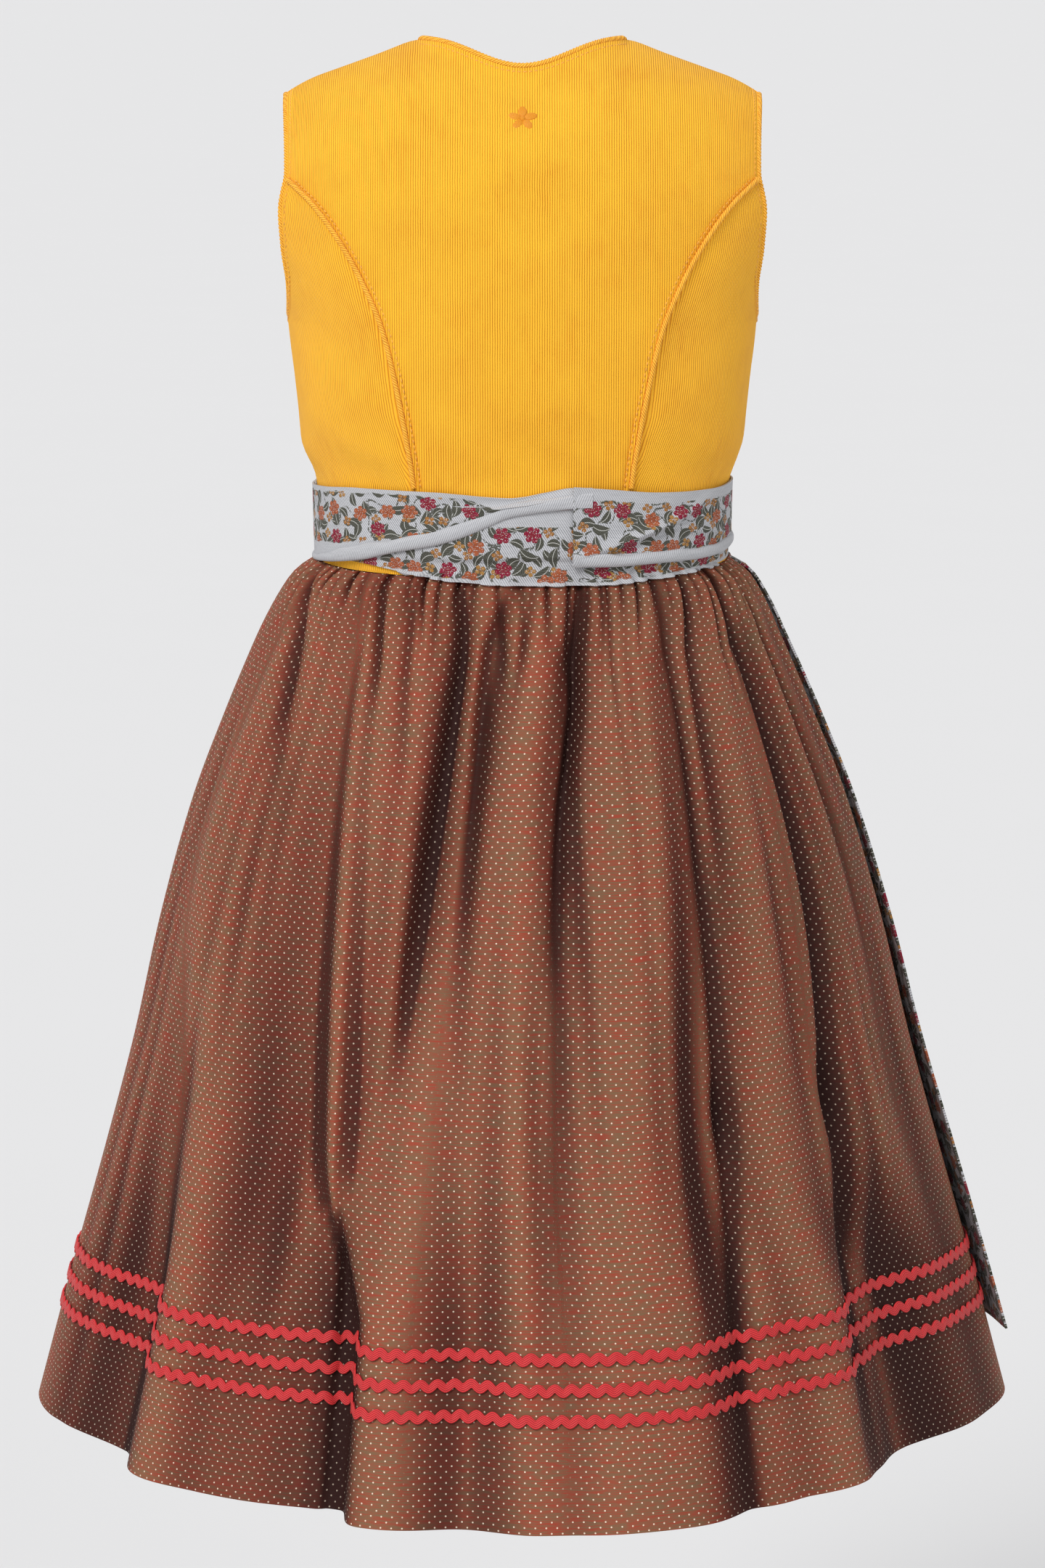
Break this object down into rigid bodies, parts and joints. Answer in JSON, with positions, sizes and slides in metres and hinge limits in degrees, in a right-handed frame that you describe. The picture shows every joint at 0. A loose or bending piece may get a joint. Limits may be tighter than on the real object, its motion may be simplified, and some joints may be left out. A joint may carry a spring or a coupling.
{
  "type": "girl's dirndl",
  "caption": "girl's dirndl: corduroy bodice with corded seams, gathered skirt with braid rows above the hem, and an apron tied with wide bands",
  "frame": {"origin": "where the shoulders carry the dress: level with the piping at the neck points of the shoulder seams, over the middle of the body", "axes": "x = towards the wearer's left, y = towards the wearer's back, so the front faces -y, z = up"},
  "size_m": [0.5445, 0.5221, 0.7538],
  "materials": {
    "corduroy": "fine corduroy, upright ribs, soft and matte",
    "piping_cord": "twisted cord with slanting ribs, matte",
    "skirt_cotton": "shot cotton in red and olive with cream pin dots, slightly crisp",
    "ricrac_braid": "woven zigzag braid, matte",
    "apron_jacquard": "pale twill ground with woven flowers and leaves, matte",
    "button_horn": "horn look, lightly polished"
  },
  "bodies": {
    "root": {"bodice_back_centre": "corduroy", "bodice_back_side_left": "corduroy", "bodice_back_side_right": "corduroy", "bodice_front_left": "corduroy", "bodice_front_right": "corduroy", "piping_neck": "piping_cord", "piping_armhole_left": "piping_cord", "piping_armhole_right": "piping_cord", "piping_princess_left": "piping_cord", "piping_princess_right": "piping_cord", "button_1": "button_horn", "button_2": "button_horn", "button_3": "button_horn", "button_4": "button_horn", "button_5": "button_horn", "button_6": "button_horn", "skirt": "skirt_cotton", "ricrac_1": "ricrac_braid", "ricrac_2": "ricrac_braid", "ricrac_3": "ricrac_braid", "apron": "apron_jacquard", "apron_waistband": "apron_jacquard", "tie_under": "apron_jacquard", "tie_left": "apron_jacquard", "tie_right": "apron_jacquard", "bow_knot": "apron_jacquard", "bow_loop_left": "apron_jacquard", "bow_loop_right": "apron_jacquard", "bow_tail_left": "apron_jacquard", "bow_tail_right": "apron_jacquard"}
  },
  "joints": []
}
